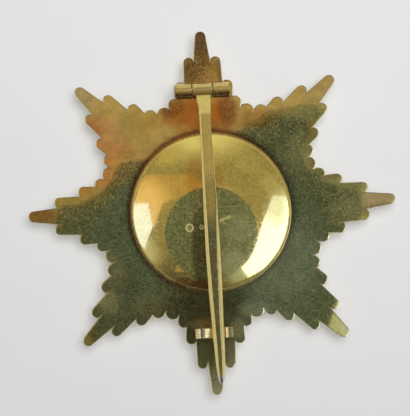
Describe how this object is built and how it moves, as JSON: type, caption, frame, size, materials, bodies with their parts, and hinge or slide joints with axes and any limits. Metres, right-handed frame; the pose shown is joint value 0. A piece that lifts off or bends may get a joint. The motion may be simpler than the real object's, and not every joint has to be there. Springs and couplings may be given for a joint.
{
  "type": "breast star of an order, pin-backed",
  "caption": "Gilt many-rayed breast star lying face down, with a domed back cover, a long pin hinged in a barrel hinge, and a bent strip catch.",
  "frame": {"origin": "middle of the flat front face of the medallion, on which the star lies face down", "axes": "+Z towards the back of the star, away from the surface it lies on; +Y along the arm that carries the hinge; +X to the right as the back is seen with the hinge at the top"},
  "size_m": [0.0828, 0.0822, 0.0103],
  "materials": {
    "gilt_plate": "satin fire-gilt silver with heat stains",
    "gilt_dome": "polished gilt silver sheet",
    "gilt_front": "gilt silver, plain",
    "gilt_wire": "drawn gilt wire",
    "gilt_pin": "polished pale gilt"
  },
  "bodies": {
    "star": {"star": "gilt_plate", "back_cover": "gilt_dome", "medallion": "gilt_front", "hinge_rod": "gilt_wire"},
    "pin": {"pin": "gilt_pin"}
  },
  "joints": [
    {"name": "pin_hinge", "type": "hinge", "parent": "star", "child": "pin", "pos_m": [-0.0006, 0.0277, 0.0063], "axis": [-1, 0, 0], "range_deg": [0, 150]}
  ]
}
